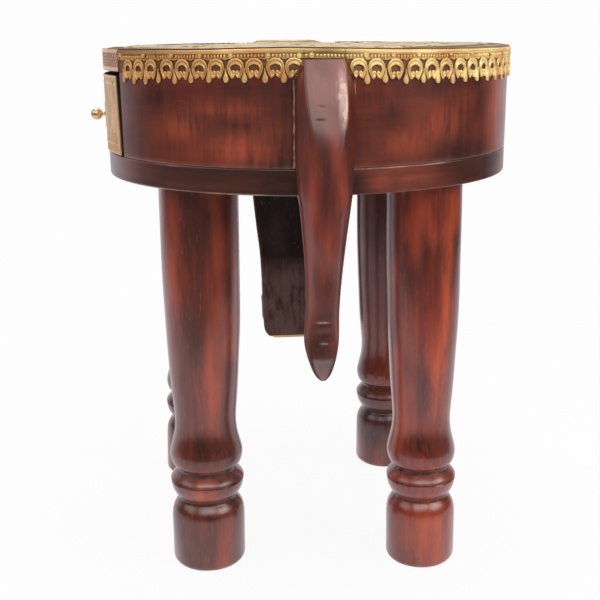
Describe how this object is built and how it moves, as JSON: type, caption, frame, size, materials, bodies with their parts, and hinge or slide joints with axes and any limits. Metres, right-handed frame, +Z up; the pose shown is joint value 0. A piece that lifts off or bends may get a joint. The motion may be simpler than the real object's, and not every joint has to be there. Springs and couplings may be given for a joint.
{
  "type": "elephant stool",
  "caption": "Low round elephant-form stool: lacquered wooden drum on four turned legs, brass lace rim, carved tail and trunk, side drawer that slides out.",
  "frame": {"origin": "on the floor, under the middle of the whole stool's box", "axes": "+Z up, +Y the way the elephant looks (head and trunk), -X the drawer's side"},
  "size_m": [0.3152, 0.3772, 0.382],
  "materials": {
    "lacquered_wood": "dark red-brown lacquer over carved and turned hardwood",
    "raw_wood": "plain sanded wood inside the drum",
    "pressed_brass": "thin pressed sheet, aged",
    "turned_brass": "turned and lightly polished",
    "steel_fixings": "plain zinc-plated screws and pins",
    "bone": "off-white resin pegs"
  },
  "bodies": {
    "carcass": {"base_dowels": "raw_wood", "base_plank_left": "lacquered_wood", "base_plank_middle": "lacquered_wood", "base_plank_right": "lacquered_wood", "base_screws": "steel_fixings", "carving_screws": "steel_fixings", "drawer_guide_fore": "raw_wood", "drawer_guide_hind": "raw_wood", "drawer_header_strip": "pressed_brass", "drawer_stop": "raw_wood", "ear_left": "lacquered_wood", "ear_nails": "steel_fixings", "ear_right": "lacquered_wood", "eye_studs": "turned_brass", "head_and_trunk": "lacquered_wood", "lace_by_drawer": "pressed_brass", "lace_fore_left": "pressed_brass", "lace_hind_left": "pressed_brass", "lace_over_tail": "pressed_brass", "lace_right": "pressed_brass", "lace_tacks": "pressed_brass", "leg_fore_left": "lacquered_wood", "leg_fore_right": "lacquered_wood", "leg_hind_left": "lacquered_wood", "leg_hind_right": "lacquered_wood", "leg_screws": "steel_fixings", "leg_washers": "steel_fixings", "seat_sheet": "pressed_brass", "seat_tacks": "turned_brass", "tail": "lacquered_wood", "top_board": "raw_wood", "top_screws": "steel_fixings", "trunk_cap": "pressed_brass", "trunk_sheet": "pressed_brass", "tusk_left": "bone", "tusk_right": "bone", "wall_fore_left": "lacquered_wood", "wall_fore_right": "lacquered_wood", "wall_hind_left": "lacquered_wood", "wall_hind_right": "lacquered_wood"},
    "drawer": {"drawer_back": "raw_wood", "drawer_bottom": "raw_wood", "drawer_front": "lacquered_wood", "drawer_knob": "turned_brass", "drawer_pins": "steel_fixings", "drawer_plate": "pressed_brass", "drawer_side_fore": "raw_wood", "drawer_side_hind": "raw_wood", "knob_nut": "steel_fixings", "knob_washer": "steel_fixings", "plate_tacks": "turned_brass"}
  },
  "joints": [
    {"name": "drawer_slide", "type": "slide", "parent": "carcass", "child": "drawer", "axis": [-1, 0, 0], "range_m": [0, 0.15]}
  ]
}
